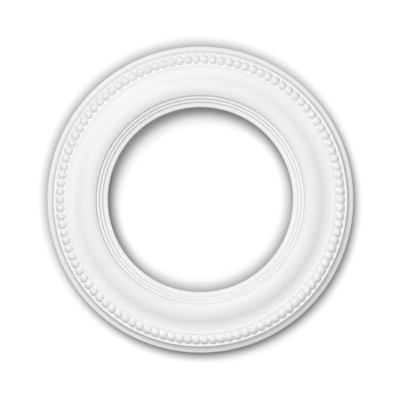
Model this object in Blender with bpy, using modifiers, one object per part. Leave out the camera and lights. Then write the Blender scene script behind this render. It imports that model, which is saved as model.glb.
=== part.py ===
"""Beaded ring ceiling rose, moulded as one piece with an open centre.

The rose lies as it is fitted: its flat back is in the plane z = 0, against the ceiling,
and the ornamented face looks down. The ring's axis is Z. Depths are measured down from
the ceiling, so a point at depth d has z = -d.
"""

import math

import bmesh
import bpy
from mathutils import Matrix, Vector

MM = 0.001

# Overall size
OUTER_DIAMETER = 400 * MM
EDGE_THICKNESS = 7.0 * MM

# Plain band at the outer edge, which slopes into the cove that climbs to the border
EDGE_BAND_WIDTH = 3.5 * MM
EDGE_BAND_SLOPE = math.radians(17)
COVE_RADIUS = 6.7 * MM
COVE_END_SLOPE = math.radians(78)
COVE_WALL_HEIGHT = 2.5 * MM
COVE_FACETS = 3
BORDER_WIDTH = 2.5 * MM

# Pearls, and the channel that they stand in, which leans a little outwards
CHANNEL_DEPTH = 0.5 * MM
CHANNEL_TILT = math.radians(10)
BEAD_RADIUS = 6.6 * MM
BEAD_HEIGHT = 4.0 * MM
BEAD_CLEARANCE = 0.3 * MM
BEAD_SPACING = 10.8 * MM
BEAD_SIDES = 8
BEAD_RINGS = 4

# Thin fillet between the pearls and the sweep
FILLET_WIDTH = 1.2 * MM
FILLET_OUTER_RISE = 0.9 * MM
FILLET_OUTER_RUN = 0.8 * MM
FILLET_INNER_FALL = 0.4 * MM
FILLET_INNER_RUN = 1.8 * MM

# The sweep: a hollow that climbs into a round, over its crown and down to the steps
HOLLOW_RADIUS = 27.0 * MM
ROUND_RADIUS = 28.4 * MM
ROLL_RADIUS = 18.0 * MM
STEEPEST_SLOPE = math.radians(30)
ROLL_END_SLOPE = math.radians(30)
HOLLOW_FACETS = 3
ROUND_FACETS = 3
ROLL_FACETS = 2

# Small steps down to the band around the opening
STEP_COUNT = 3
STEP_RISE = 2.3 * MM
STEP_RUN = 1.0 * MM
TREAD_WIDTH = 3.16 * MM
INNER_BAND_WIDTH = 6.0 * MM

# Side slope that lets a small wall leave its mould, as plan width over height
WALL_DRAFT = 0.25

# Where the ring's facets begin, as a share of the pearls' pitch: off the pearls' seams
FACET_PHASE = 0.25
MERGE_DISTANCE = 0.01 * MM
SHARP_ANGLE = math.radians(28)
PRIMER_WHITE = (0.82, 0.82, 0.82, 1.0)
PRIMER_ROUGHNESS = 0.55

# Sizes that follow from the ones above: widths in plan, rises and depths along Z
BEAD_FOOT = 2 * math.sqrt(BEAD_RADIUS ** 2 - (BEAD_RADIUS - BEAD_HEIGHT) ** 2)
FLOOR_WIDTH = (BEAD_FOOT + 2 * BEAD_CLEARANCE) * math.cos(CHANNEL_TILT)
FLOOR_RISE = FLOOR_WIDTH * math.tan(CHANNEL_TILT)
EDGE_BAND_RISE = EDGE_BAND_WIDTH * math.tan(EDGE_BAND_SLOPE)
COVE_WIDTH = COVE_RADIUS * (math.sin(COVE_END_SLOPE) - math.sin(EDGE_BAND_SLOPE))
COVE_RISE = COVE_RADIUS * (math.cos(EDGE_BAND_SLOPE) - math.cos(COVE_END_SLOPE))
COVE_WALL_RUN = COVE_WALL_HEIGHT / math.tan(COVE_END_SLOPE)
BEAD_CIRCLE_RADIUS = (OUTER_DIAMETER / 2 - EDGE_BAND_WIDTH - COVE_WIDTH - COVE_WALL_RUN
                      - BORDER_WIDTH - CHANNEL_DEPTH * WALL_DRAFT - FLOOR_WIDTH / 2)
BORDER_DEPTH = EDGE_THICKNESS + EDGE_BAND_RISE + COVE_RISE + COVE_WALL_HEIGHT
BEAD_CIRCLE_DEPTH = BORDER_DEPTH - CHANNEL_DEPTH + FLOOR_RISE / 2
BEAD_COUNT = round(math.tau * BEAD_CIRCLE_RADIUS / BEAD_SPACING)
BEAD_PITCH_ANGLE = math.tau / BEAD_COUNT


class Section:
    """Half of the ring's cross-section as (radius, depth) points, drawn inwards."""

    def __init__(self, radius, depth):
        self.points = [(radius, depth)]

    def line(self, inwards, down):
        """Draw a straight stretch from the last point."""
        radius, depth = self.points[-1]
        self.points.append((radius - inwards, depth + down))

    def arc(self, radius, start, end, facets):
        """Turn from one slope to another. A positive slope gains depth going inwards."""
        turn = math.copysign(radius, end - start)
        facet_angle = (end - start) / facets
        for facet in range(facets):
            slope = start + facet * facet_angle
            next_slope = slope + facet_angle
            self.line(turn * (math.sin(next_slope) - math.sin(slope)),
                      turn * (math.cos(slope) - math.cos(next_slope)))

    def back_to_ceiling(self):
        """Draw the wall of the opening, straight up to the back."""
        self.line(0.0, -self.points[-1][1])


def draw_section():
    """The ring's whole section: down the outer edge, along the face, up the opening."""
    section = Section(OUTER_DIAMETER / 2, 0.0)
    section.line(0.0, EDGE_THICKNESS)
    section.line(EDGE_BAND_WIDTH, EDGE_BAND_RISE)
    section.arc(COVE_RADIUS, EDGE_BAND_SLOPE, COVE_END_SLOPE, COVE_FACETS)
    section.line(COVE_WALL_RUN, COVE_WALL_HEIGHT)
    section.line(BORDER_WIDTH, 0.0)
    section.line(CHANNEL_DEPTH * WALL_DRAFT, -CHANNEL_DEPTH)
    section.line(FLOOR_WIDTH, FLOOR_RISE)

    section.line(FILLET_OUTER_RUN, FILLET_OUTER_RISE)
    section.line(FILLET_WIDTH, 0.0)
    section.line(FILLET_INNER_RUN, -FILLET_INNER_FALL)

    section.arc(HOLLOW_RADIUS, 0.0, STEEPEST_SLOPE, HOLLOW_FACETS)
    section.arc(ROUND_RADIUS, STEEPEST_SLOPE, 0.0, ROUND_FACETS)
    section.arc(ROLL_RADIUS, 0.0, -ROLL_END_SLOPE, ROLL_FACETS)

    section.line(STEP_RUN, -STEP_RISE)
    for _ in range(STEP_COUNT - 1):
        section.line(TREAD_WIDTH, 0.0)
        section.line(STEP_RUN, -STEP_RISE)
    section.line(INNER_BAND_WIDTH, 0.0)
    section.back_to_ceiling()
    return section.points


def make_primer():
    """The matt white primer that covers the whole moulding."""
    material = bpy.data.materials.new("matt_white_primer")
    material.use_nodes = True
    shader = material.node_tree.nodes["Principled BSDF"]
    shader.inputs["Base Color"].default_value = PRIMER_WHITE
    shader.inputs["Roughness"].default_value = PRIMER_ROUGHNESS
    shader.inputs["Metallic"].default_value = 0.0
    return material


def add_object(name, mesh, collection, material):
    """Put a mesh in a collection as an object of its own."""
    mesh.materials.append(material)
    obj = bpy.data.objects.new(name, mesh)
    collection.objects.link(obj)
    return obj


def make_ring(collection, material):
    """Turn the section about Z, with one facet for each pearl."""
    outline = bmesh.new()
    start = Matrix.Rotation(FACET_PHASE * BEAD_PITCH_ANGLE, 3, "Z")
    verts = [outline.verts.new(start @ Vector((radius, 0.0, -depth)))
             for radius, depth in draw_section()]
    for vert, following in zip(verts, verts[1:] + verts[:1]):
        outline.edges.new((vert, following))
    mesh = bpy.data.meshes.new("ceiling_rose")
    outline.to_mesh(mesh)
    outline.free()

    ring = add_object("ceiling_rose", mesh, collection, material)
    screw = ring.modifiers.new("turn", "SCREW")
    screw.axis = "Z"
    screw.steps = BEAD_COUNT
    screw.render_steps = BEAD_COUNT
    screw.use_merge_vertices = True
    screw.merge_threshold = MERGE_DISTANCE
    return ring


def make_bead_row(collection, material):
    """The pearls as one garland: balls sunk in the floor, each cut off where the next begins."""
    row = bmesh.new()
    foot = Matrix.Translation((BEAD_CIRCLE_RADIUS, 0.0, -BEAD_CIRCLE_DEPTH))
    lean = Matrix.Rotation(-CHANNEL_TILT, 4, "Y")
    middle = Matrix.Translation((0.0, 0.0, BEAD_RADIUS - BEAD_HEIGHT))
    bmesh.ops.create_uvsphere(row, u_segments=BEAD_SIDES, v_segments=BEAD_RINGS,
                              radius=BEAD_RADIUS, matrix=foot @ lean @ middle)
    for side in (1, -1):
        turn = Matrix.Rotation(side * BEAD_PITCH_ANGLE / 2, 3, "Z")
        bmesh.ops.bisect_plane(row, geom=row.verts[:] + row.edges[:] + row.faces[:],
                               plane_co=(0.0, 0.0, 0.0), plane_no=turn @ Vector((0.0, side, 0.0)),
                               clear_outer=True)

    first = Matrix.Rotation(BEAD_PITCH_ANGLE / 2, 3, "Z")
    bmesh.ops.rotate(row, verts=row.verts, cent=(0.0, 0.0, 0.0), matrix=first)
    bmesh.ops.spin(row, geom=row.verts[:] + row.edges[:] + row.faces[:], cent=(0.0, 0.0, 0.0),
                   axis=(0.0, 0.0, 1.0), angle=math.tau - BEAD_PITCH_ANGLE,
                   steps=BEAD_COUNT - 1, use_duplicate=True)
    bmesh.ops.remove_doubles(row, verts=row.verts, dist=MERGE_DISTANCE)
    mesh = bpy.data.meshes.new("bead_row")
    row.to_mesh(mesh)
    row.free()

    beads = add_object("bead_row", mesh, collection, material)
    beads.hide_render = True
    beads.display_type = "WIRE"
    return beads


def join_beads(ring, beads):
    """Make ring and pearls one solid, smooth on its rounds and crisp at its edges."""
    union = ring.modifiers.new("pearls", "BOOLEAN")
    union.operation = "UNION"
    union.solver = "EXACT"
    union.object = beads
    evaluated = ring.evaluated_get(bpy.context.evaluated_depsgraph_get())
    mesh = bpy.data.meshes.new_from_object(evaluated)
    mesh.shade_smooth()
    mesh.set_sharp_from_angle(angle=SHARP_ANGLE)
    ring.modifiers.clear()
    ring.data = mesh


def main():
    """Clear the scene and build the rose."""
    for obj in list(bpy.data.objects):
        bpy.data.objects.remove(obj, do_unlink=True)
    part = bpy.data.collections.new("ceiling_rose")
    helpers = bpy.data.collections.new("helpers")
    bpy.context.scene.collection.children.link(part)
    bpy.context.scene.collection.children.link(helpers)

    primer = make_primer()
    ring = make_ring(part, primer)
    beads = make_bead_row(helpers, primer)
    join_beads(ring, beads)


main()
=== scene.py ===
"""Looks of the pearl-edged ceiling rose, seen from below as it is fitted.

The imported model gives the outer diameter. This script turns the same section with its
small corners rounded, stands finely made pearls in the channel, and dresses the moulding
in matt white primer, with the bare sanded foam of its back.
"""

import logging
import math
from dataclasses import dataclass
from enum import Enum

import bmesh
import bpy
from mathutils import Euler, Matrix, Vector


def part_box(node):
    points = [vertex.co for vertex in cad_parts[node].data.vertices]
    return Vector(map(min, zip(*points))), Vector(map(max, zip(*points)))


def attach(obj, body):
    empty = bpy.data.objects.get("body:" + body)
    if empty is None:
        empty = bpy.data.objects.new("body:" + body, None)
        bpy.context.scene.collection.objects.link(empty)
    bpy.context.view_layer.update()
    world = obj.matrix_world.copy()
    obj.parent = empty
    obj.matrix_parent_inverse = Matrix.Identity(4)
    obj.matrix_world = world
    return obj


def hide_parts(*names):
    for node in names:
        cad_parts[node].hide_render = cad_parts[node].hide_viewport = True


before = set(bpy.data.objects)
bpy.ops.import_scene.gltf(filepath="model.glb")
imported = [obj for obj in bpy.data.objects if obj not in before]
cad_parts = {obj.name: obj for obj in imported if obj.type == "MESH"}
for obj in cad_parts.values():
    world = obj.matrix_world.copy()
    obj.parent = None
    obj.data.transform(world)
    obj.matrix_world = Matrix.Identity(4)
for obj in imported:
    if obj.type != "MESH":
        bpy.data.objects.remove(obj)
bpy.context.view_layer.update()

LOG = logging.getLogger("ceiling_rose")

MM = 0.001
NODE = "ceiling_rose"
BODY = "root"

# The rose turns about this line
CENTRE = (0.0, 0.0, 0.0)
AXIS = (0.0, 0.0, 1.0)

# A place times this keeps only its part in plan
PLAN = (1.0, 1.0, 0.0)

# Vertices that are nearer to each other than this are merged
WELD_DISTANCE = 0.002 * MM

# A corner's vertex is found within this distance of its place
PICK_DISTANCE = 0.01 * MM

# A bevel with this profile is an arc of a circle
ARC_PROFILE = 0.5

NOISE_MIDDLE = 0.5
WHITE = (1.0, 1.0, 1.0, 1.0)


class Corner(Enum):
    """How far a corner of the section is rounded, as the bevel's offset."""

    SHARP = 0.0
    FINE = 0.12 * MM
    CRISP = 0.25 * MM
    SOFT = 0.45 * MM
    ROUNDED = 0.9 * MM
    EASED = 1.2 * MM


def deselect_everything() -> None:
    """Clear the selection, which the loaded frame leaves full."""
    bpy.ops.object.select_all(action="DESELECT")


def choose(obj: bpy.types.Object) -> None:
    """Make one object the only selected and the active one.

    Args:
        obj: The object that the next operators work on.
    """
    deselect_everything()
    obj.select_set(True)
    bpy.context.view_layer.objects.active = obj


def select_vertices_at(obj: bpy.types.Object, places: list[Vector]) -> None:
    """Select the vertices of a mesh in edit mode that lie at the given places.

    Args:
        obj: The object in edit mode.
        places: Where the wanted vertices are.
    """
    bpy.ops.mesh.select_mode(type="VERT")
    bpy.ops.mesh.select_all(action="DESELECT")
    mesh = bmesh.from_edit_mesh(obj.data)
    for vertex in mesh.verts:
        if any((vertex.co - place).length < PICK_DISTANCE for place in places):
            vertex.select = True
    mesh.select_flush_mode()
    bmesh.update_edit_mesh(obj.data)


class SectionPen:
    """Draws the half section with extrusions, from the back down the edge and inwards.

    The section lies in the plane y = 0, with radii along X and depths down -Z.
    """

    seed_size: float = 1.0 * MM

    def __init__(self, radius: float) -> None:
        """Start the section as a single vertex in the plane of the back.

        It is a small plane that is merged into its middle.

        Args:
            radius: The outer radius, where the drawing starts.
        """
        self.start = Vector((radius, 0.0, 0.0))
        self.tip = self.start.copy()
        self.corners: dict[Corner, list[Vector]] = {corner: [] for corner in Corner}
        deselect_everything()
        bpy.ops.mesh.primitive_plane_add(size=self.seed_size, location=self.start)
        self.obj = bpy.context.active_object
        bpy.ops.object.mode_set(mode="EDIT")
        bpy.ops.mesh.select_all(action="SELECT")
        bpy.ops.mesh.merge(type="CENTER")
        bpy.ops.object.mode_set(mode="OBJECT")
        bpy.ops.object.transform_apply(location=True, rotation=True, scale=True)
        bpy.ops.object.mode_set(mode="EDIT")
        bpy.ops.mesh.select_all(action="SELECT")

    def line(self, inwards: float, down: float, corner: Corner = Corner.SHARP) -> None:
        """Extrude a straight stretch from the tip.

        Args:
            inwards: How far it runs towards the axis.
            down: How far it drops.
            corner: How the corner where it ends is rounded.
        """
        move = Vector((-inwards, 0.0, -down))
        bpy.ops.mesh.extrude_region_move(TRANSFORM_OT_translate={"value": move})
        self.tip += move
        self.corners[corner].append(self.tip.copy())

    def arc(self, radius: float, start: float, end: float, facets: int) -> None:
        """Extrude an arc from one slope to another.

        Args:
            radius: The arc's radius.
            start: Slope where it begins; a positive slope gains depth going inwards.
            end: Slope where it ends.
            facets: How many straight stretches make it.
        """
        turn = math.copysign(radius, end - start)
        facet_angle = (end - start) / facets
        for facet in range(facets):
            slope = start + facet * facet_angle
            following = slope + facet_angle
            self.line(turn * (math.sin(following) - math.sin(slope)),
                      turn * (math.cos(slope) - math.cos(following)))

    def close(self, corner: Corner) -> None:
        """Draw the opening's wall and the flat back, and join the ends.

        Args:
            corner: How the back's two corners are rounded.
        """
        self.line(0.0, self.tip.z, corner)
        self.line(self.tip.x - self.start.x, 0.0, corner)
        bpy.ops.mesh.select_all(action="SELECT")
        bpy.ops.mesh.remove_doubles(threshold=WELD_DISTANCE)

    def round_corners(self, segments: int) -> None:
        """Bevel the marked corners, one kind at a time.

        Args:
            segments: How many stretches make each rounding.
        """
        for corner, places in self.corners.items():
            if corner is not Corner.SHARP and places:
                select_vertices_at(self.obj, places)
                bpy.ops.mesh.bevel(offset=corner.value, offset_type="OFFSET",
                                   segments=segments, profile=ARC_PROFILE,
                                   affect="VERTICES")


@dataclass
class RoseSection:
    """The sizes of the rose's section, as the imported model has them.

    Only the border's slight fall towards the pearls is added here.
    """

    outer_radius: float
    edge_thickness: float = 7.0 * MM
    edge_band_width: float = 3.5 * MM
    edge_band_slope: float = math.radians(17)
    cove_radius: float = 6.7 * MM
    cove_end_slope: float = math.radians(78)
    cove_wall_height: float = 2.5 * MM
    border_width: float = 2.5 * MM
    border_fall: float = 0.3 * MM
    channel_depth: float = 0.5 * MM
    channel_wall_run: float = 0.125 * MM
    channel_tilt: float = math.radians(10)
    floor_width: float = 12.54 * MM
    fillet_width: float = 1.2 * MM
    fillet_outer_rise: float = 0.9 * MM
    fillet_outer_run: float = 0.8 * MM
    fillet_inner_fall: float = 0.4 * MM
    fillet_inner_run: float = 1.8 * MM
    hollow_radius: float = 27.0 * MM
    round_radius: float = 28.4 * MM
    roll_radius: float = 18.0 * MM
    steepest_slope: float = math.radians(30)
    roll_end_slope: float = math.radians(30)
    step_count: int = 3
    step_rise: float = 2.3 * MM
    step_run: float = 1.0 * MM
    tread_width: float = 3.16 * MM
    inner_band_width: float = 6.0 * MM
    curve_facets: int = 12
    corner_segments: int = 3

    @property
    def floor_rise(self) -> float:
        """How much deeper the channel's floor is at the fillet than at the border."""
        return self.floor_width * math.tan(self.channel_tilt)

    @property
    def inner_radius(self) -> float:
        """Radius of the opening."""
        sweep = (self.hollow_radius + self.round_radius) * math.sin(self.steepest_slope)
        roll = self.roll_radius * math.sin(self.roll_end_slope)
        steps = self.step_count * self.step_run + (self.step_count - 1) * self.tread_width
        fillet = self.fillet_outer_run + self.fillet_width + self.fillet_inner_run
        inwards = self.floor_width / 2 + fillet + sweep + roll + steps
        return self.pearl_circle_radius - inwards - self.inner_band_width

    @property
    def cove_wall_run(self) -> float:
        """Plan width of the straight wall between the cove and the border."""
        return self.cove_wall_height / math.tan(self.cove_end_slope)

    @property
    def pearl_circle_depth(self) -> float:
        """Depth of the channel's floor below the back, under the pearls' middles."""
        band_rise = self.edge_band_width * math.tan(self.edge_band_slope)
        cove_rise = self.cove_radius * (math.cos(self.edge_band_slope)
                                        - math.cos(self.cove_end_slope))
        border_depth = self.edge_thickness + band_rise + cove_rise + self.cove_wall_height
        return border_depth - self.channel_depth + self.floor_rise / 2

    @property
    def pearl_circle_radius(self) -> float:
        """Radius of the circle through the pearls' middles."""
        cove_width = self.cove_radius * (math.sin(self.cove_end_slope)
                                         - math.sin(self.edge_band_slope))
        rim = self.edge_band_width + cove_width + self.cove_wall_run + self.border_width
        return self.outer_radius - rim - self.channel_wall_run - self.floor_width / 2

    def draw(self) -> bpy.types.Object:
        """Draw the closed section with its corners rounded.

        Returns:
            The section, still in edit mode.
        """
        pen = SectionPen(self.outer_radius)
        self._draw_edge(pen)
        self._draw_channel(pen)
        self._draw_sweep(pen)
        self._draw_steps(pen)
        pen.close(Corner.SOFT)
        pen.round_corners(self.corner_segments)
        return pen.obj

    def _draw_edge(self, pen: SectionPen) -> None:
        """Draw the outer edge, its plain band, the cove and the border."""
        pen.line(0.0, self.edge_thickness, Corner.EASED)
        pen.line(self.edge_band_width, self.edge_band_width * math.tan(self.edge_band_slope))
        pen.arc(self.cove_radius, self.edge_band_slope, self.cove_end_slope,
                self.curve_facets)
        pen.line(self.cove_wall_run, self.cove_wall_height, Corner.ROUNDED)
        pen.line(self.border_width, -self.border_fall, Corner.FINE)

    def _draw_channel(self, pen: SectionPen) -> None:
        """Draw the pearls' channel and the thin fillet beside it."""
        pen.line(self.channel_wall_run, self.border_fall - self.channel_depth)
        pen.line(self.floor_width, self.floor_rise, Corner.CRISP)
        pen.line(self.fillet_outer_run, self.fillet_outer_rise, Corner.SOFT)
        pen.line(self.fillet_width, 0.0, Corner.SOFT)
        pen.line(self.fillet_inner_run, -self.fillet_inner_fall)

    def _draw_sweep(self, pen: SectionPen) -> None:
        """Draw the hollow, the round and the roll past the crown."""
        pen.arc(self.hollow_radius, 0.0, self.steepest_slope, self.curve_facets)
        pen.arc(self.round_radius, self.steepest_slope, 0.0, self.curve_facets)
        pen.arc(self.roll_radius, 0.0, -self.roll_end_slope, self.curve_facets)

    def _draw_steps(self, pen: SectionPen) -> None:
        """Draw the small steps and the band around the opening."""
        pen.line(self.step_run, -self.step_rise, Corner.FINE)
        for _ in range(self.step_count - 1):
            pen.line(self.tread_width, 0.0, Corner.FINE)
            pen.line(self.step_run, -self.step_rise, Corner.FINE)
        pen.line(self.inner_band_width, 0.0, Corner.EASED)


@dataclass
class PearlRow:
    """The pearls of the channel: balls sunk in its floor, that just run into each other."""

    circle_radius: float
    circle_depth: float
    lean: float
    radius: float = 6.6 * MM
    height: float = 4.0 * MM
    spacing: float = 10.8 * MM
    sink: float = 0.5 * MM
    sides: int = 32
    rings: int = 24
    cut_tolerance: float = 0.001 * MM

    @property
    def count(self) -> int:
        """As many pearls as bring their spacing nearest to the wanted one."""
        return round(math.tau * self.circle_radius / self.spacing)

    @property
    def pitch_angle(self) -> float:
        """Angle from one pearl to the next."""
        return math.tau / self.count

    def model_pearl(self) -> bpy.types.Object:
        """Model one pearl, cut off under the floor and where its neighbours begin.

        Returns:
            The pearl, open at its two cut sides, in edit mode with all of it selected.
        """
        foot = Vector((self.circle_radius, 0.0, -self.circle_depth))
        inward = Vector((-math.sin(self.lean), 0.0, math.cos(self.lean)))
        middle = foot + inward * (self.radius - self.height)
        deselect_everything()
        bpy.ops.mesh.primitive_uv_sphere_add(segments=self.sides, ring_count=self.rings,
                                             radius=self.radius, location=middle,
                                             rotation=(0.0, -self.lean, 0.0))
        pearl = bpy.context.active_object
        bpy.ops.object.transform_apply(location=True, rotation=True, scale=True)
        bpy.ops.object.mode_set(mode="EDIT")
        bpy.ops.mesh.select_all(action="SELECT")
        bpy.ops.mesh.bisect(plane_co=foot + inward * self.sink, plane_no=inward,
                            use_fill=True, clear_outer=True, threshold=self.cut_tolerance)
        half = self.pitch_angle / 2
        for side in (1.0, -1.0):
            bpy.ops.mesh.select_all(action="SELECT")
            bpy.ops.mesh.bisect(plane_co=CENTRE,
                                plane_no=(-math.sin(half), side * math.cos(half), 0.0),
                                clear_outer=True, threshold=self.cut_tolerance)
        bpy.ops.mesh.select_all(action="SELECT")
        # Which way it turns makes no difference to the whole row
        bpy.ops.transform.rotate(value=half, orient_axis="Z", center_override=CENTRE)
        return pearl

    def build(self) -> bpy.types.Object:
        """Model the whole row.

        Returns:
            The row as one closed garland, in object mode.
        """
        row = self.model_pearl()
        bpy.ops.mesh.spin(steps=self.count - 1, dupli=True, center=CENTRE, axis=AXIS,
                          angle=self.pitch_angle * (self.count - 1))
        bpy.ops.mesh.select_all(action="SELECT")
        bpy.ops.mesh.remove_doubles(threshold=WELD_DISTANCE)
        bpy.ops.mesh.normals_make_consistent(inside=False)
        bpy.ops.object.mode_set(mode="OBJECT")
        LOG.info("pearl row: %d pearls, %d faces", self.count, len(row.data.polygons))
        return row


class Blend(Enum):
    """What a Mix node blends: its data type, its first input's place and its output's."""

    NUMBERS = ("FLOAT", 2, 0)
    COLOURS = ("RGBA", 6, 2)


class NodePen:
    """Adds nodes to one node tree, and feeds sockets with values or with other sockets."""

    def __init__(self, tree: bpy.types.NodeTree) -> None:
        """Work in a tree.

        Args:
            tree: The tree that gets the nodes.
        """
        self.tree = tree

    def node(self, kind: str, **settings: object) -> bpy.types.Node:
        """Add a node.

        Args:
            kind: The node's type name.
            settings: Properties to set on it.

        Returns:
            The node.
        """
        made = self.tree.nodes.new(kind)
        for name, value in settings.items():
            setattr(made, name, value)
        return made

    def feed(self, socket: bpy.types.NodeSocket, source: object) -> None:
        """Link a socket to another one, or set its value.

        Args:
            socket: The input to feed.
            source: An output socket, or a plain value.
        """
        if isinstance(source, bpy.types.NodeSocket):
            self.tree.links.new(source, socket)
        else:
            socket.default_value = source

    def math(self, operation: str, *sources: object) -> bpy.types.NodeSocket:
        """Add a Math node.

        Args:
            operation: Its operation.
            sources: What goes into its inputs, in order.

        Returns:
            Its result.
        """
        made = self.node("ShaderNodeMath", operation=operation)
        for socket, source in zip(made.inputs, sources):
            self.feed(socket, source)
        return made.outputs["Value"]

    def vector(self, operation: str, vector: bpy.types.NodeSocket,
               by: object) -> bpy.types.NodeSocket:
        """Add a Vector Math node.

        Args:
            operation: Its operation.
            vector: The vector or colour to work on.
            by: The second vector, or the number for SCALE.

        Returns:
            Its result.
        """
        made = self.node("ShaderNodeVectorMath", operation=operation)
        second = "Scale" if operation == "SCALE" else 1
        self.feed(made.inputs[0], vector)
        self.feed(made.inputs[second], by)
        return made.outputs["Vector"]

    def length(self, vector: bpy.types.NodeSocket) -> bpy.types.NodeSocket:
        """Work out how long a vector is.

        Args:
            vector: The vector.

        Returns:
            Its length.
        """
        made = self.node("ShaderNodeVectorMath", operation="LENGTH")
        self.feed(made.inputs[0], vector)
        return made.outputs["Value"]

    def ramp(self, value: bpy.types.NodeSocket, start: float,
             end: float) -> bpy.types.NodeSocket:
        """Turn a value into a smooth share, 0 at start and 1 at end.

        Args:
            value: The value.
            start: Where the share is 0.
            end: Where it is 1; it may be the lower one.

        Returns:
            The share.
        """
        made = self.node("ShaderNodeMapRange", interpolation_type="SMOOTHSTEP")
        self.feed(made.inputs["Value"], value)
        self.feed(made.inputs["From Min"], start)
        self.feed(made.inputs["From Max"], end)
        return made.outputs["Result"]

    def noise(self, vector: bpy.types.NodeSocket, scale: object,
              detail: float) -> bpy.types.NodeSocket:
        """Add a Noise texture.

        Args:
            vector: Where to read it.
            scale: Its scale, a number or a socket.
            detail: How many finer layers it has.

        Returns:
            Its value, which varies around NOISE_MIDDLE.
        """
        made = self.node("ShaderNodeTexNoise")
        self.feed(made.inputs["Vector"], vector)
        self.feed(made.inputs["Scale"], scale)
        self.feed(made.inputs["Detail"], detail)
        return made.outputs["Fac"]

    def mix(self, blend: Blend, share: bpy.types.NodeSocket, first: object,
            second: object) -> bpy.types.NodeSocket:
        """Mix two numbers or two colours.

        Args:
            blend: Which of the two.
            share: How much of the second there is.
            first: The first number or colour.
            second: The second one.

        Returns:
            The mixture.
        """
        data_type, first_input, result = blend.value
        made = self.node("ShaderNodeMix", data_type=data_type)
        self.feed(made.inputs[0], share)
        self.feed(made.inputs[first_input], first)
        self.feed(made.inputs[first_input + 1], second)
        return made.outputs[result]

    def bump(self, shader: bpy.types.Node, height: bpy.types.NodeSocket,
             depth: float) -> None:
        """Feed a height into a shader's normal through a Bump node.

        Args:
            shader: The Principled BSDF.
            height: The height, from 0 to 1.
            depth: How many metres a height of 1 stands for.
        """
        made = self.node("ShaderNodeBump")
        self.feed(made.inputs["Distance"], depth)
        self.feed(made.inputs["Height"], height)
        self.feed(shader.inputs["Normal"], made.outputs["Normal"])


@dataclass(frozen=True)
class Finish:
    """A finish with a fine grain, as plain values."""

    name: str
    colour: tuple[float, float, float]
    roughness: float
    grain_size: float
    grain_height: float
    mottle: float

    def shader(self, material: bpy.types.Material) -> bpy.types.Node:
        """Fetch the material's Principled BSDF with this finish's plain values set.

        Args:
            material: The material to dress.

        Returns:
            The shader node.
        """
        material.use_nodes = True
        shader = material.node_tree.nodes["Principled BSDF"]
        shader.inputs["Roughness"].default_value = self.roughness
        shader.inputs["Metallic"].default_value = 0.0
        return shader

    def surface(self, pen: NodePen, place: bpy.types.NodeSocket,
                group: bpy.types.NodeTree) -> bpy.types.Node:
        """Add one of the shared surface groups with this finish's values.

        Args:
            pen: Works in the material.
            place: The Object coordinates.
            group: The surface group.

        Returns:
            The group's node, with outputs Colour and Height.
        """
        made = pen.node("ShaderNodeGroup", node_tree=group)
        pen.feed(made.inputs["Vector"], place)
        pen.feed(made.inputs["Colour"], (*self.colour, 1.0))
        pen.feed(made.inputs["Grain Scale"], 1.0 / self.grain_size)
        pen.feed(made.inputs["Mottle"], self.mottle)
        return made


PRIMER = Finish(name="matt_white_primer", colour=(0.80, 0.80, 0.80), roughness=0.55,
                grain_size=0.9 * MM, grain_height=0.012 * MM, mottle=0.02)
BARE_FOAM = Finish(name="sanded_foam", colour=(0.80, 0.73, 0.57), roughness=0.9,
                   grain_size=0.8 * MM, grain_height=0.12 * MM, mottle=0.20)
CEILING_PAINT = Finish(name="ceiling_paint", colour=(0.97, 0.97, 0.97), roughness=0.9,
                       grain_size=1.4 * MM, grain_height=0.004 * MM, mottle=0.01)
FLOOR_PAINT = Finish(name="pale_floor", colour=(0.35, 0.35, 0.35), roughness=0.8,
                     grain_size=4.0 * MM, grain_height=0.02 * MM, mottle=0.02)


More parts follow.
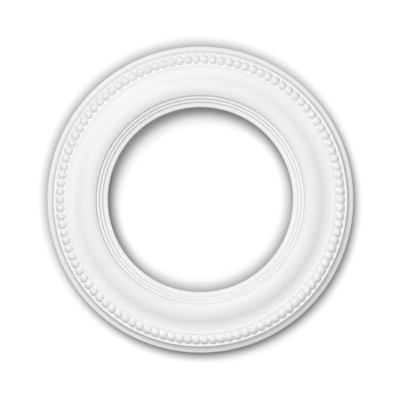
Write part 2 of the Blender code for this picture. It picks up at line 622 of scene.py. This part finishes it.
class SurfaceGroups:
    """The two shared surfaces: a fine even grain, and sanded foam with its cells cut open.

    Both take Vector, Colour, Grain Scale and Mottle, and give Colour and Height. The foam's
    colour has painted shade in its cells' pits.
    """

    grain_detail: float = 3.0
    cloud_scale: float = 14.0
    cloud_detail: float = 4.0
    sanding_stretch: tuple[float, float, float] = (25.0, 900.0, 1.0)
    sanding_detail: float = 2.0
    sanding_share: float = 0.35
    cell_wall: float = 0.55
    painted_pit_shade: float = 0.10

    def __init__(self) -> None:
        """Build both groups."""
        self.grain = self._start("fine_grain")
        self._draw_grain(NodePen(self.grain))
        self.foam = self._start("sanded_foam")
        self._draw_foam(NodePen(self.foam))

    def _start(self, name: str) -> bpy.types.NodeTree:
        """Make a group with the sockets that both share.

        Args:
            name: The group's name.

        Returns:
            The group, with an input and an output node.
        """
        group = bpy.data.node_groups.new(name, "ShaderNodeTree")
        kinds = {"Vector": "NodeSocketVector", "Colour": "NodeSocketColor",
                 "Grain Scale": "NodeSocketFloat", "Mottle": "NodeSocketFloat"}
        for socket, kind in kinds.items():
            group.interface.new_socket(socket, in_out="INPUT", socket_type=kind)
        for socket, kind in {"Colour": "NodeSocketColor", "Height": "NodeSocketFloat"}.items():
            group.interface.new_socket(socket, in_out="OUTPUT", socket_type=kind)
        group.nodes.new("NodeGroupInput")
        group.nodes.new("NodeGroupOutput")
        return group

    def _draw_grain(self, pen: NodePen) -> None:
        """Draw a mottled colour and a fine surface height.

        Args:
            pen: Works in the grain group.
        """
        source = pen.tree.nodes["Group Input"].outputs
        result = pen.tree.nodes["Group Output"].inputs
        grain = pen.noise(source["Vector"], source["Grain Scale"], self.grain_detail)
        pen.feed(result["Height"], grain)
        clouds = pen.noise(source["Vector"], self.cloud_scale, self.cloud_detail)
        centred = pen.math("SUBTRACT", clouds, NOISE_MIDDLE)
        tint = pen.math("MULTIPLY_ADD", centred, source["Mottle"], 1.0)
        pen.feed(result["Colour"], pen.vector("SCALE", source["Colour"], tint))

    def _draw_foam(self, pen: NodePen) -> None:
        """Draw cells that the sander cut open, with painted shade in their pits, and the
        sander's straight lines.

        Args:
            pen: Works in the foam group.
        """
        source = pen.tree.nodes["Group Input"].outputs
        result = pen.tree.nodes["Group Output"].inputs
        cells = pen.node("ShaderNodeTexVoronoi")
        pen.feed(cells.inputs["Vector"], source["Vector"])
        pen.feed(cells.inputs["Scale"], source["Grain Scale"])
        wall = pen.ramp(cells.outputs["Distance"], 0.0, self.cell_wall)
        stretched = pen.vector("MULTIPLY", source["Vector"], self.sanding_stretch)
        lines = pen.noise(stretched, 1.0, self.sanding_detail)
        scored = pen.math("MULTIPLY_ADD", lines, self.sanding_share, wall)
        pen.feed(result["Height"], scored)

        clouds = pen.noise(source["Vector"], self.cloud_scale, self.cloud_detail)
        spread = pen.math("ADD", clouds, lines)
        centred = pen.math("SUBTRACT", spread, 2 * NOISE_MIDDLE)
        # Painted shade: the colour is darker in the cells' pits than on their walls
        tint = pen.math("MULTIPLY_ADD", centred, source["Mottle"], 1.0 - self.painted_pit_shade)
        with_painted_pit_shade = pen.math("MULTIPLY_ADD", wall, self.painted_pit_shade, tint)
        pen.feed(result["Colour"], pen.vector("SCALE", source["Colour"], with_painted_pit_shade))


@dataclass
class BareBack:
    """Where the foam is bare: the flat back, but for primer that strayed over its edges."""

    outer_radius: float
    inner_radius: float
    primed_from: float = 0.4 * MM
    bare_to: float = 0.1 * MM
    overspray: float = 7.0 * MM
    raggedness: float = 0.9
    ragged_scale: float = 160.0
    ragged_detail: float = 4.0
    bare_range: tuple[float, float] = (0.2, 0.8)

    def share(self, pen: NodePen, place: bpy.types.NodeSocket) -> bpy.types.NodeSocket:
        """Work out how bare the surface is.

        It is bare down to a depth of bare_to, and primed below primed_from.

        Args:
            pen: Works in the moulding's material.
            place: The Object coordinates.

        Returns:
            The share of bare foam, from 0 to 1.
        """
        split = pen.node("ShaderNodeSeparateXYZ")
        pen.feed(split.inputs[0], place)
        on_back = pen.ramp(split.outputs["Z"], -self.primed_from, -self.bare_to)
        radius = pen.length(pen.vector("MULTIPLY", place, PLAN))
        from_rim = pen.ramp(radius, self.outer_radius, self.outer_radius - self.overspray)
        from_hole = pen.ramp(radius, self.inner_radius, self.inner_radius + self.overspray)
        clear = pen.math("MULTIPLY", from_rim, from_hole)
        spots = pen.noise(place, self.ragged_scale, self.ragged_detail)
        ragged = pen.math("SUBTRACT", spots, NOISE_MIDDLE)
        frayed = pen.math("MULTIPLY_ADD", ragged, self.raggedness, clear)
        return pen.math("MULTIPLY", on_back, pen.ramp(frayed, *self.bare_range))


@dataclass
class CeilingRose:
    """The rose itself: the turned ring and its pearls, joined into one moulding."""

    section: RoseSection
    pearls: PearlRow
    steps_per_pearl: int = 4
    smooth_angle: float = math.radians(32)

    def turn_ring(self) -> bpy.types.Object:
        """Spin the section into the plain ring.

        Returns:
            The ring, in object mode.
        """
        ring = self.section.draw()
        bpy.ops.mesh.select_all(action="SELECT")
        bpy.ops.mesh.spin(steps=self.pearls.count * self.steps_per_pearl, angle=math.tau,
                          center=CENTRE, axis=AXIS)
        bpy.ops.mesh.select_all(action="SELECT")
        bpy.ops.mesh.remove_doubles(threshold=WELD_DISTANCE)
        bpy.ops.mesh.normals_make_consistent(inside=False)
        # Half a facet keeps the ring's edges off the pearls' seams
        half_facet = self.pearls.pitch_angle / self.steps_per_pearl / 2
        bpy.ops.transform.rotate(value=half_facet, orient_axis="Z",
                                 center_override=CENTRE)
        bpy.ops.object.mode_set(mode="OBJECT")
        LOG.info("plain ring: %d faces", len(ring.data.polygons))
        return ring

    def join_pearls(self, ring: bpy.types.Object, row: bpy.types.Object) -> None:
        """Make the ring and the pearls one closed surface.

        Args:
            ring: The plain ring, which gets the pearls.
            row: The pearls, which are used up.
        """
        choose(ring)
        bpy.ops.object.modifier_add(type="BOOLEAN")
        union = ring.modifiers[-1]
        union.operation = "UNION"
        union.solver = "EXACT"
        union.object = row
        bpy.ops.object.modifier_apply(modifier=union.name)
        bpy.data.objects.remove(row, do_unlink=True)

    def build(self) -> bpy.types.Object:
        """Model the whole moulding.

        Returns:
            The finished piece, at the origin with its place in its mesh.
        """
        ring = self.turn_ring()
        row = self.pearls.build()
        self.join_pearls(ring, row)
        choose(ring)
        bpy.ops.object.shade_smooth_by_angle(angle=self.smooth_angle)
        ring.name = "rose_moulding"
        return ring

    def dress(self, piece: bpy.types.Object, surfaces: SurfaceGroups) -> None:
        """Give the moulding its primer, and its back the bare foam.

        Args:
            piece: The finished moulding.
            surfaces: The shared surface groups.
        """
        material = bpy.data.materials.new(PRIMER.name)
        shader = PRIMER.shader(material)
        pen = NodePen(material.node_tree)
        place = pen.node("ShaderNodeTexCoord").outputs["Object"]
        primed = PRIMER.surface(pen, place, surfaces.grain).outputs
        foam = BARE_FOAM.surface(pen, place, surfaces.foam).outputs
        back = BareBack(self.section.outer_radius, self.section.inner_radius)
        bare = back.share(pen, place)

        colour = pen.mix(Blend.COLOURS, bare, primed["Colour"], foam["Colour"])
        pen.feed(shader.inputs["Base Color"], colour)
        roughness = pen.mix(Blend.NUMBERS, bare, PRIMER.roughness, BARE_FOAM.roughness)
        pen.feed(shader.inputs["Roughness"], roughness)
        fine = PRIMER.grain_height / BARE_FOAM.grain_height
        peel = pen.math("MULTIPLY", primed["Height"], fine)
        height = pen.mix(Blend.NUMBERS, bare, peel, foam["Height"])
        pen.bump(shader, height, BARE_FOAM.grain_height)
        piece.data.materials.clear()
        piece.data.materials.append(material)


@dataclass
class Coat:
    """A painted material, the pen that works in it, its shader and its grained colour."""

    material: bpy.types.Material
    pen: NodePen
    shader: bpy.types.Node
    colour: bpy.types.NodeSocket


@dataclass
class Room:
    """The stage: a ceiling that is clear from above, and a pale floor."""

    ceiling_size: float = 3.0
    floor_size: float = 400.0
    floor_depth: float = 2.8
    ceiling_gap: float = 7.0 * MM
    painted_shadow_reach: float = 17.0 * MM
    reflected: tuple[float, float, float, float] = (0.15, 0.15, 0.15, 1.0)

    def build_ceiling(self, surfaces: SurfaceGroups) -> bpy.types.Object:
        """Make the ceiling, solid from below and clear from above.

        It has a painted shadow close to the rose, where the photograph's shadow is deep, and
        reflects less onto the rose than it shows, so that steep sides stay dark.

        Args:
            surfaces: The shared surface groups.

        Returns:
            The ceiling.
        """
        deselect_everything()
        bpy.ops.mesh.primitive_plane_add(size=self.ceiling_size,
                                         location=(0.0, 0.0, self.ceiling_gap))
        ceiling = bpy.context.active_object
        ceiling.name = "stage_ceiling"
        bpy.ops.object.mode_set(mode="EDIT")
        bpy.ops.mesh.select_all(action="SELECT")
        bpy.ops.mesh.flip_normals()
        bpy.ops.object.mode_set(mode="OBJECT")

        coat = self._paint(CEILING_PAINT, surfaces)
        self._paint_shadow_near_rose(coat)
        self._clear_from_above(coat)
        ceiling.data.materials.append(coat.material)
        return ceiling

    def _paint_shadow_near_rose(self, coat: Coat) -> None:
        """Feed the ceiling's colour, with a painted shadow near the rose, and dim in what it
        reflects.

        Args:
            coat: The ceiling's paint.
        """
        pen = coat.pen
        # Painted shadow: ambient occlusion darkens the ceiling's colour within reach of the
        # rose
        corner = pen.node("ShaderNodeAmbientOcclusion")
        pen.feed(corner.inputs["Distance"], self.painted_shadow_reach)
        painted_shadow = pen.vector("SCALE", coat.colour, corner.outputs["AO"])
        ray = pen.node("ShaderNodeLightPath")
        dimmed = pen.mix(Blend.COLOURS, ray.outputs["Is Diffuse Ray"], painted_shadow, self.reflected)
        pen.feed(coat.shader.inputs["Base Color"], dimmed)

    def _clear_from_above(self, coat: Coat) -> None:
        """Let the ceiling's upper side be seen through.

        Args:
            coat: The ceiling's paint.
        """
        pen = coat.pen
        clear = pen.node("ShaderNodeBsdfTransparent")
        geometry = pen.node("ShaderNodeNewGeometry")
        either = pen.node("ShaderNodeMixShader")
        share, from_below, from_above = either.inputs
        pen.feed(share, geometry.outputs["Backfacing"])
        pen.feed(from_below, coat.shader.outputs["BSDF"])
        pen.feed(from_above, clear.outputs["BSDF"])
        end = coat.material.node_tree.nodes["Material Output"]
        pen.feed(end.inputs["Surface"], either.outputs["Shader"])

    def build_floor(self, surfaces: SurfaceGroups) -> bpy.types.Object:
        """Make the floor.

        Args:
            surfaces: The shared surface groups.

        Returns:
            The floor.
        """
        deselect_everything()
        bpy.ops.mesh.primitive_plane_add(size=self.floor_size,
                                         location=(0.0, 0.0, -self.floor_depth))
        floor = bpy.context.active_object
        floor.name = "stage_floor"
        coat = self._paint(FLOOR_PAINT, surfaces)
        coat.pen.feed(coat.shader.inputs["Base Color"], coat.colour)
        floor.data.materials.append(coat.material)
        floor.visible_shadow = False
        floor.visible_diffuse = False
        return floor

    def _paint(self, finish: Finish, surfaces: SurfaceGroups) -> Coat:
        """Make a painted material with an even grain, and leave its colour to be fed.

        Args:
            finish: The paint.
            surfaces: The shared surface groups.

        Returns:
            The coat of paint.
        """
        material = bpy.data.materials.new(finish.name)
        shader = finish.shader(material)
        pen = NodePen(material.node_tree)
        place = pen.node("ShaderNodeTexCoord").outputs["Object"]
        grain = finish.surface(pen, place, surfaces.grain).outputs
        pen.bump(shader, grain["Height"], finish.grain_height)
        return Coat(material=material, pen=pen, shader=shader, colour=grain["Colour"])


class Side(Enum):
    """The side of the rose that a light is on, as a direction along Z."""

    ORNAMENT = -1.0
    BACK = 1.0


@dataclass(frozen=True)
class SoftSun:
    """A distant light, as broad as its spread."""

    name: str
    strength: float
    off_axis: float
    bearing: float
    spread: float
    side: Side = Side.ORNAMENT

    def build(self) -> None:
        """Add the light, aimed at the rose.

        The one on the back shines through the ceiling, and nothing passes its light on, so
        that it leaves the ornament's shadows alone.
        """
        level = math.sin(self.off_axis)
        towards = Vector((level * math.cos(self.bearing), level * math.sin(self.bearing),
                          self.side.value * math.cos(self.off_axis)))
        deselect_everything()
        bpy.ops.object.light_add(type="SUN", location=towards)
        sun = bpy.context.active_object
        sun.name = self.name
        sun.data.energy = self.strength
        sun.data.angle = self.spread
        sun.rotation_euler = (-towards).to_track_quat("-Z", "Y").to_euler()
        if self.side is Side.BACK:
            sun.visible_glossy = False
            sun.data.use_shadow = False
            sun.data.cycles.max_bounces = 0


KEY_LIGHT = SoftSun(name="key_light", strength=2.62, off_axis=math.radians(36),
                    bearing=math.radians(-120), spread=math.radians(46))
FILL_LIGHT = SoftSun(name="fill_light", strength=1.26, off_axis=math.radians(42),
                     bearing=math.radians(75), spread=math.radians(60))
SIDE_LIGHT = SoftSun(name="side_light", strength=0.30, off_axis=math.radians(45),
                     bearing=math.radians(-30), spread=math.radians(50))
BACK_LIGHT = SoftSun(name="back_light", strength=2.6, off_axis=math.radians(3),
                     bearing=math.radians(60), spread=math.radians(6), side=Side.BACK)


@dataclass
class Lighting:
    """Three soft lights on the ornament, one on the back, and even light around.

    The surroundings shine above the ceiling and hardly below it, but the camera itself
    sees them as pale as the floor.
    """

    suns: tuple[SoftSun, ...] = (KEY_LIGHT, FILL_LIGHT, SIDE_LIGHT, BACK_LIGHT)
    above: float = 0.9
    below: float = 0.02
    horizon_blend: float = 0.02
    backdrop: float = 0.6

    def build(self) -> None:
        """Set the room's light and add the lamps."""
        self._build_surroundings()
        for sun in self.suns:
            sun.build()

    def _build_surroundings(self) -> None:
        """Make the world's light, which changes level at the horizon."""
        world = bpy.data.worlds.new("even_light")
        world.use_nodes = True
        pen = NodePen(world.node_tree)
        split = pen.node("ShaderNodeSeparateXYZ")
        pen.feed(split.inputs[0], pen.node("ShaderNodeTexCoord").outputs["Generated"])
        height = pen.ramp(split.outputs["Z"], -self.horizon_blend, self.horizon_blend)
        level = pen.mix(Blend.NUMBERS, height, self.below, self.above)
        ray = pen.node("ShaderNodeLightPath")
        shown = pen.mix(Blend.NUMBERS, ray.outputs["Is Camera Ray"], level, self.backdrop)
        background = world.node_tree.nodes["Background"]
        pen.feed(background.inputs["Color"], WHITE)
        pen.feed(background.inputs["Strength"], shown)
        bpy.context.scene.world = world


@dataclass
class Viewpoint:
    """The photograph's view: straight up at the rose, through a long lens."""

    outer_radius: float
    rim_depth: float
    roll: float
    distance: float = 2.6
    frame_width_px: float = 400.0
    rose_radius_px: float = 153.2
    rose_middle_px: tuple[float, float] = (200.35, 199.6)
    sensor_width: float = 36.0

    def build(self) -> None:
        """Make the camera and set it as the scene's."""
        metres_per_px = self.outer_radius / self.rose_radius_px
        frame_width = self.frame_width_px * metres_per_px
        off_right = (self.rose_middle_px[0] - self.frame_width_px / 2) * metres_per_px
        off_down = (self.rose_middle_px[1] - self.frame_width_px / 2) * metres_per_px
        turn = Euler((math.pi, 0.0, self.roll))
        place = turn.to_matrix() @ Vector((-off_right, off_down, self.distance))
        deselect_everything()
        bpy.ops.object.camera_add(location=place, rotation=turn)
        camera = bpy.context.active_object
        camera.name = "camera"
        camera.data.sensor_width = self.sensor_width
        camera.data.lens = self.sensor_width * (self.distance - self.rim_depth) / frame_width
        bpy.context.scene.camera = camera


def main() -> None:
    """Build the rose, its stage, its light and the camera."""
    logging.basicConfig(level=logging.INFO, format="%(name)s: %(message)s")
    low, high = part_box(NODE)
    section = RoseSection(outer_radius=(high.x - low.x) / 2)
    pearls = PearlRow(circle_radius=section.pearl_circle_radius,
                      circle_depth=section.pearl_circle_depth, lean=section.channel_tilt)
    rose = CeilingRose(section, pearls)
    surfaces = SurfaceGroups()

    piece = rose.build()
    rose.dress(piece, surfaces)
    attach(piece, BODY)
    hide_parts(NODE)
    LOG.info("%s: %d faces", piece.name, len(piece.data.polygons))

    room = Room()
    room.build_ceiling(surfaces)
    room.build_floor(surfaces)
    Lighting().build()
    viewpoint = Viewpoint(outer_radius=section.outer_radius,
                          rim_depth=section.edge_thickness, roll=pearls.pitch_angle / 2)
    viewpoint.build()
    bpy.context.scene.view_settings.view_transform = "Standard"


if __name__ == "__main__":
    main()
